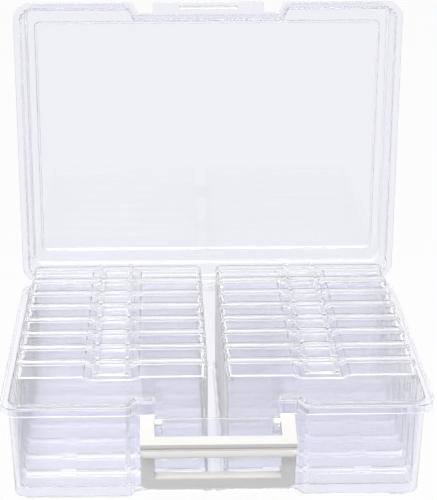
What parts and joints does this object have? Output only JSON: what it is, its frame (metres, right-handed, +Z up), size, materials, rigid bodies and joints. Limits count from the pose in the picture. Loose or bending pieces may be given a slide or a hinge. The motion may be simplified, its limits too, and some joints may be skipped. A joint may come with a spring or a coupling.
{
  "type": "photo keeper case",
  "caption": "Clear plastic photo keeper case with a hinged lid, an ivory swing handle that latches the lid, and rows of small clasped photo cases inside",
  "frame": {"origin": "middle of the underside, halfway between the front of the rim and the hinge axis", "axes": "+Z up, -Y to the front where the handle is, +X to the right seen from the front"},
  "size_m": [0.38, 0.3526, 0.3862],
  "materials": {
    "clear_plastic": "gloss",
    "case_plastic": "gloss",
    "ivory_plastic": "satin"
  },
  "bodies": {
    "case": {"outer_case": "clear_plastic"},
    "lid": {"lid": "clear_plastic"},
    "handle": {"carry_handle": "ivory_plastic"},
    "photo_case_01": {"photo_case_tray_01": "case_plastic", "photo_case_cover_01": "case_plastic"},
    "photo_case_02": {"photo_case_tray_02": "case_plastic", "photo_case_cover_02": "case_plastic"},
    "photo_case_03": {"photo_case_tray_03": "case_plastic", "photo_case_cover_03": "case_plastic"},
    "photo_case_04": {"photo_case_tray_04": "case_plastic", "photo_case_cover_04": "case_plastic"},
    "photo_case_05": {"photo_case_tray_05": "case_plastic", "photo_case_cover_05": "case_plastic"},
    "photo_case_06": {"photo_case_tray_06": "case_plastic", "photo_case_cover_06": "case_plastic"},
    "photo_case_07": {"photo_case_tray_07": "case_plastic", "photo_case_cover_07": "case_plastic"},
    "photo_case_08": {"photo_case_tray_08": "case_plastic", "photo_case_cover_08": "case_plastic"},
    "photo_case_09": {"photo_case_tray_09": "case_plastic", "photo_case_cover_09": "case_plastic"},
    "photo_case_10": {"photo_case_tray_10": "case_plastic", "photo_case_cover_10": "case_plastic"},
    "photo_case_11": {"photo_case_tray_11": "case_plastic", "photo_case_cover_11": "case_plastic"},
    "photo_case_12": {"photo_case_tray_12": "case_plastic", "photo_case_cover_12": "case_plastic"},
    "photo_case_13": {"photo_case_tray_13": "case_plastic", "photo_case_cover_13": "case_plastic"},
    "photo_case_14": {"photo_case_tray_14": "case_plastic", "photo_case_cover_14": "case_plastic"},
    "photo_case_15": {"photo_case_tray_15": "case_plastic", "photo_case_cover_15": "case_plastic"},
    "photo_case_16": {"photo_case_tray_16": "case_plastic", "photo_case_cover_16": "case_plastic"}
  },
  "joints": [
    {"name": "lid_hinge", "type": "hinge", "parent": "case", "child": "lid", "pos_m": [0, 0.146, 0.09415], "axis": [-1, 0, 0], "range_deg": [-90, 0]},
    {"name": "handle_swing", "type": "hinge", "parent": "case", "child": "handle", "pos_m": [0, -0.1405, 0.077], "axis": [1, 0, 0], "range_deg": [-109, 0]},
    {"name": "lift_out_01", "type": "slide", "parent": "case", "child": "photo_case_01", "axis": [0, 0, 1], "range_m": [0, 0.12]},
    {"name": "lift_out_02", "type": "slide", "parent": "case", "child": "photo_case_02", "axis": [0, 0, 1], "range_m": [0, 0.12]},
    {"name": "lift_out_03", "type": "slide", "parent": "case", "child": "photo_case_03", "axis": [0, 0, 1], "range_m": [0, 0.12]},
    {"name": "lift_out_04", "type": "slide", "parent": "case", "child": "photo_case_04", "axis": [0, 0, 1], "range_m": [0, 0.12]},
    {"name": "lift_out_05", "type": "slide", "parent": "case", "child": "photo_case_05", "axis": [0, 0, 1], "range_m": [0, 0.12]},
    {"name": "lift_out_06", "type": "slide", "parent": "case", "child": "photo_case_06", "axis": [0, 0, 1], "range_m": [0, 0.12]},
    {"name": "lift_out_07", "type": "slide", "parent": "case", "child": "photo_case_07", "axis": [0, 0, 1], "range_m": [0, 0.12]},
    {"name": "lift_out_08", "type": "slide", "parent": "case", "child": "photo_case_08", "axis": [0, 0, 1], "range_m": [0, 0.12]},
    {"name": "lift_out_09", "type": "slide", "parent": "case", "child": "photo_case_09", "axis": [0, 0, 1], "range_m": [0, 0.12]},
    {"name": "lift_out_10", "type": "slide", "parent": "case", "child": "photo_case_10", "axis": [0, 0, 1], "range_m": [0, 0.12]},
    {"name": "lift_out_11", "type": "slide", "parent": "case", "child": "photo_case_11", "axis": [0, 0, 1], "range_m": [0, 0.12]},
    {"name": "lift_out_12", "type": "slide", "parent": "case", "child": "photo_case_12", "axis": [0, 0, 1], "range_m": [0, 0.12]},
    {"name": "lift_out_13", "type": "slide", "parent": "case", "child": "photo_case_13", "axis": [0, 0, 1], "range_m": [0, 0.12]},
    {"name": "lift_out_14", "type": "slide", "parent": "case", "child": "photo_case_14", "axis": [0, 0, 1], "range_m": [0, 0.12]},
    {"name": "lift_out_15", "type": "slide", "parent": "case", "child": "photo_case_15", "axis": [0, 0, 1], "range_m": [0, 0.12]},
    {"name": "lift_out_16", "type": "slide", "parent": "case", "child": "photo_case_16", "axis": [0, 0, 1], "range_m": [0, 0.12]}
  ]
}
